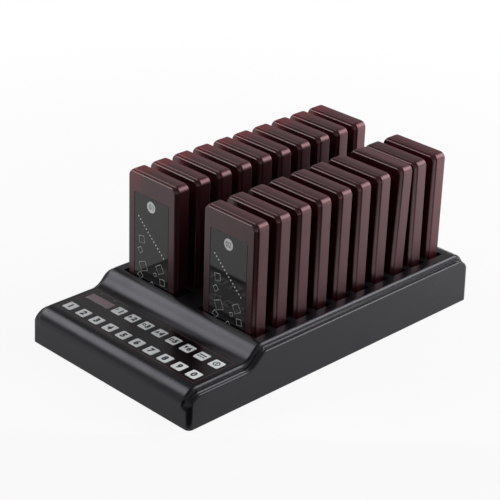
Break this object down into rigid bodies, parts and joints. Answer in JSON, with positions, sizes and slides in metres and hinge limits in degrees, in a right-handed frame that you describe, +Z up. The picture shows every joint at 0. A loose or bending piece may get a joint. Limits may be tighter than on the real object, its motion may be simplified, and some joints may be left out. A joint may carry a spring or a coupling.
{
  "type": "guest pager system",
  "caption": "Charging base with a keypad deck and a small display, holding rows of upright bar-shaped pagers in slots.",
  "frame": {"origin": "on the surface that the feet stand on, under the middle of the base", "axes": "+Z up, -Y towards the keypad and its user, +X to the user's right"},
  "size_m": [0.1732, 0.3022, 0.1273],
  "materials": {
    "housing_plastic": "black moulded plastic with a fine satin texture",
    "foot_rubber": "black rubber",
    "screw_steel": "zinc-plated steel",
    "overlay_film": "printed matt plastic film",
    "display_lens": "tinted clear plastic",
    "display_block": "grey digit block",
    "circuit_board": "green glass-fibre board",
    "switch_body": "black switch plastic",
    "lamp_guide": "clear light guide",
    "contact_metal": "plated spring steel",
    "inlet_plastic": "black moulded plastic",
    "key_cap": "pale grey moulded plastic with a printed mark",
    "pager_case": "smoked red see-through plastic",
    "pager_window": "glossy dark printed panel",
    "battery_wrap": "silver battery wrap",
    "signal_lamp": "red signal lamp",
    "motor_metal": "plated steel can"
  },
  "bodies": {
    "base": {"top_housing": "housing_plastic", "bottom_cover": "housing_plastic", "rubber_feet": "foot_rubber", "housing_screws": "screw_steel", "keypad_overlay": "overlay_film", "display_window": "display_lens", "display_module": "display_block", "keypad_board": "circuit_board", "key_switches": "switch_body", "status_lamps": "lamp_guide", "charging_boards": "circuit_board", "charging_springs": "contact_metal", "main_board": "circuit_board", "power_inlet": "inlet_plastic", "aerial": "contact_metal"},
    "number_key_1": {"number_key_1": "key_cap"},
    "number_key_2": {"number_key_2": "key_cap"},
    "number_key_3": {"number_key_3": "key_cap"},
    "number_key_4": {"number_key_4": "key_cap"},
    "number_key_5": {"number_key_5": "key_cap"},
    "number_key_6": {"number_key_6": "key_cap"},
    "number_key_7": {"number_key_7": "key_cap"},
    "number_key_8": {"number_key_8": "key_cap"},
    "number_key_9": {"number_key_9": "key_cap"},
    "number_key_0": {"number_key_0": "key_cap"},
    "function_key_1": {"function_key_1": "key_cap"},
    "function_key_2": {"function_key_2": "key_cap"},
    "function_key_3": {"function_key_3": "key_cap"},
    "function_key_4": {"function_key_4": "key_cap"},
    "function_key_5": {"function_key_5": "key_cap"},
    "function_key_6": {"function_key_6": "key_cap"},
    "function_key_7": {"function_key_7": "key_cap"},
    "function_key_8": {"function_key_8": "key_cap"},
    "pager_01": {"pager_01_front_cover": "pager_case", "pager_01_rear_shell": "pager_case", "pager_01_window_panel": "pager_window", "pager_01_circuit_board": "circuit_board", "pager_01_battery": "battery_wrap", "pager_01_charging_pads": "contact_metal", "pager_01_vibration_motor": "motor_metal", "pager_01_signal_lamps": "signal_lamp"},
    "pager_02": {"pager_02": "pager_case"},
    "pager_03": {"pager_03": "pager_case"},
    "pager_04": {"pager_04": "pager_case"},
    "pager_05": {"pager_05": "pager_case"},
    "pager_06": {"pager_06": "pager_case"},
    "pager_07": {"pager_07": "pager_case"},
    "pager_08": {"pager_08": "pager_case"},
    "pager_09": {"pager_09": "pager_case"},
    "pager_10": {"pager_10": "pager_case"},
    "pager_11": {"pager_11": "pager_case"},
    "pager_12": {"pager_12": "pager_case"},
    "pager_13": {"pager_13": "pager_case"},
    "pager_14": {"pager_14": "pager_case"},
    "pager_15": {"pager_15": "pager_case"},
    "pager_16": {"pager_16": "pager_case"},
    "pager_17": {"pager_17": "pager_case"},
    "pager_18": {"pager_18": "pager_case"},
    "pager_19": {"pager_19": "pager_case"},
    "pager_20": {"pager_20": "pager_case"}
  },
  "joints": [
    {"name": "number_key_1_press", "type": "slide", "parent": "base", "child": "number_key_1", "axis": [0, 0, -1], "range_m": [0, 0.0004], "stiffness_N_per_m": 600, "springref_m": -0.001},
    {"name": "number_key_2_press", "type": "slide", "parent": "base", "child": "number_key_2", "axis": [0, 0, -1], "range_m": [0, 0.0004], "stiffness_N_per_m": 600, "springref_m": -0.001},
    {"name": "number_key_3_press", "type": "slide", "parent": "base", "child": "number_key_3", "axis": [0, 0, -1], "range_m": [0, 0.0004], "stiffness_N_per_m": 600, "springref_m": -0.001},
    {"name": "number_key_4_press", "type": "slide", "parent": "base", "child": "number_key_4", "axis": [0, 0, -1], "range_m": [0, 0.0004], "stiffness_N_per_m": 600, "springref_m": -0.001},
    {"name": "number_key_5_press", "type": "slide", "parent": "base", "child": "number_key_5", "axis": [0, 0, -1], "range_m": [0, 0.0004], "stiffness_N_per_m": 600, "springref_m": -0.001},
    {"name": "number_key_6_press", "type": "slide", "parent": "base", "child": "number_key_6", "axis": [0, 0, -1], "range_m": [0, 0.0004], "stiffness_N_per_m": 600, "springref_m": -0.001},
    {"name": "number_key_7_press", "type": "slide", "parent": "base", "child": "number_key_7", "axis": [0, 0, -1], "range_m": [0, 0.0004], "stiffness_N_per_m": 600, "springref_m": -0.001},
    {"name": "number_key_8_press", "type": "slide", "parent": "base", "child": "number_key_8", "axis": [0, 0, -1], "range_m": [0, 0.0004], "stiffness_N_per_m": 600, "springref_m": -0.001},
    {"name": "number_key_9_press", "type": "slide", "parent": "base", "child": "number_key_9", "axis": [0, 0, -1], "range_m": [0, 0.0004], "stiffness_N_per_m": 600, "springref_m": -0.001},
    {"name": "number_key_0_press", "type": "slide", "parent": "base", "child": "number_key_0", "axis": [0, 0, -1], "range_m": [0, 0.0004], "stiffness_N_per_m": 600, "springref_m": -0.001},
    {"name": "function_key_1_press", "type": "slide", "parent": "base", "child": "function_key_1", "axis": [0, 0, -1], "range_m": [0, 0.0004], "stiffness_N_per_m": 600, "springref_m": -0.001},
    {"name": "function_key_2_press", "type": "slide", "parent": "base", "child": "function_key_2", "axis": [0, 0, -1], "range_m": [0, 0.0004], "stiffness_N_per_m": 600, "springref_m": -0.001},
    {"name": "function_key_3_press", "type": "slide", "parent": "base", "child": "function_key_3", "axis": [0, 0, -1], "range_m": [0, 0.0004], "stiffness_N_per_m": 600, "springref_m": -0.001},
    {"name": "function_key_4_press", "type": "slide", "parent": "base", "child": "function_key_4", "axis": [0, 0, -1], "range_m": [0, 0.0004], "stiffness_N_per_m": 600, "springref_m": -0.001},
    {"name": "function_key_5_press", "type": "slide", "parent": "base", "child": "function_key_5", "axis": [0, 0, -1], "range_m": [0, 0.0004], "stiffness_N_per_m": 600, "springref_m": -0.001},
    {"name": "function_key_6_press", "type": "slide", "parent": "base", "child": "function_key_6", "axis": [0, 0, -1], "range_m": [0, 0.0004], "stiffness_N_per_m": 600, "springref_m": -0.001},
    {"name": "function_key_7_press", "type": "slide", "parent": "base", "child": "function_key_7", "axis": [0, 0, -1], "range_m": [0, 0.0004], "stiffness_N_per_m": 600, "springref_m": -0.001},
    {"name": "function_key_8_press", "type": "slide", "parent": "base", "child": "function_key_8", "axis": [0, 0, -1], "range_m": [0, 0.0004], "stiffness_N_per_m": 600, "springref_m": -0.001},
    {"name": "pager_01_lift", "type": "slide", "parent": "base", "child": "pager_01", "axis": [0, 0, 1], "range_m": [0, 0.04]},
    {"name": "pager_02_lift", "type": "slide", "parent": "base", "child": "pager_02", "axis": [0, 0, 1], "range_m": [0, 0.04]},
    {"name": "pager_03_lift", "type": "slide", "parent": "base", "child": "pager_03", "axis": [0, 0, 1], "range_m": [0, 0.04]},
    {"name": "pager_04_lift", "type": "slide", "parent": "base", "child": "pager_04", "axis": [0, 0, 1], "range_m": [0, 0.04]},
    {"name": "pager_05_lift", "type": "slide", "parent": "base", "child": "pager_05", "axis": [0, 0, 1], "range_m": [0, 0.04]},
    {"name": "pager_06_lift", "type": "slide", "parent": "base", "child": "pager_06", "axis": [0, 0, 1], "range_m": [0, 0.04]},
    {"name": "pager_07_lift", "type": "slide", "parent": "base", "child": "pager_07", "axis": [0, 0, 1], "range_m": [0, 0.04]},
    {"name": "pager_08_lift", "type": "slide", "parent": "base", "child": "pager_08", "axis": [0, 0, 1], "range_m": [0, 0.04]},
    {"name": "pager_09_lift", "type": "slide", "parent": "base", "child": "pager_09", "axis": [0, 0, 1], "range_m": [0, 0.04]},
    {"name": "pager_10_lift", "type": "slide", "parent": "base", "child": "pager_10", "axis": [0, 0, 1], "range_m": [0, 0.04]},
    {"name": "pager_11_lift", "type": "slide", "parent": "base", "child": "pager_11", "axis": [0, 0, 1], "range_m": [0, 0.04]},
    {"name": "pager_12_lift", "type": "slide", "parent": "base", "child": "pager_12", "axis": [0, 0, 1], "range_m": [0, 0.04]},
    {"name": "pager_13_lift", "type": "slide", "parent": "base", "child": "pager_13", "axis": [0, 0, 1], "range_m": [0, 0.04]},
    {"name": "pager_14_lift", "type": "slide", "parent": "base", "child": "pager_14", "axis": [0, 0, 1], "range_m": [0, 0.04]},
    {"name": "pager_15_lift", "type": "slide", "parent": "base", "child": "pager_15", "axis": [0, 0, 1], "range_m": [0, 0.04]},
    {"name": "pager_16_lift", "type": "slide", "parent": "base", "child": "pager_16", "axis": [0, 0, 1], "range_m": [0, 0.04]},
    {"name": "pager_17_lift", "type": "slide", "parent": "base", "child": "pager_17", "axis": [0, 0, 1], "range_m": [0, 0.04]},
    {"name": "pager_18_lift", "type": "slide", "parent": "base", "child": "pager_18", "axis": [0, 0, 1], "range_m": [0, 0.04]},
    {"name": "pager_19_lift", "type": "slide", "parent": "base", "child": "pager_19", "axis": [0, 0, 1], "range_m": [0, 0.04]},
    {"name": "pager_20_lift", "type": "slide", "parent": "base", "child": "pager_20", "axis": [0, 0, 1], "range_m": [0, 0.04]}
  ]
}
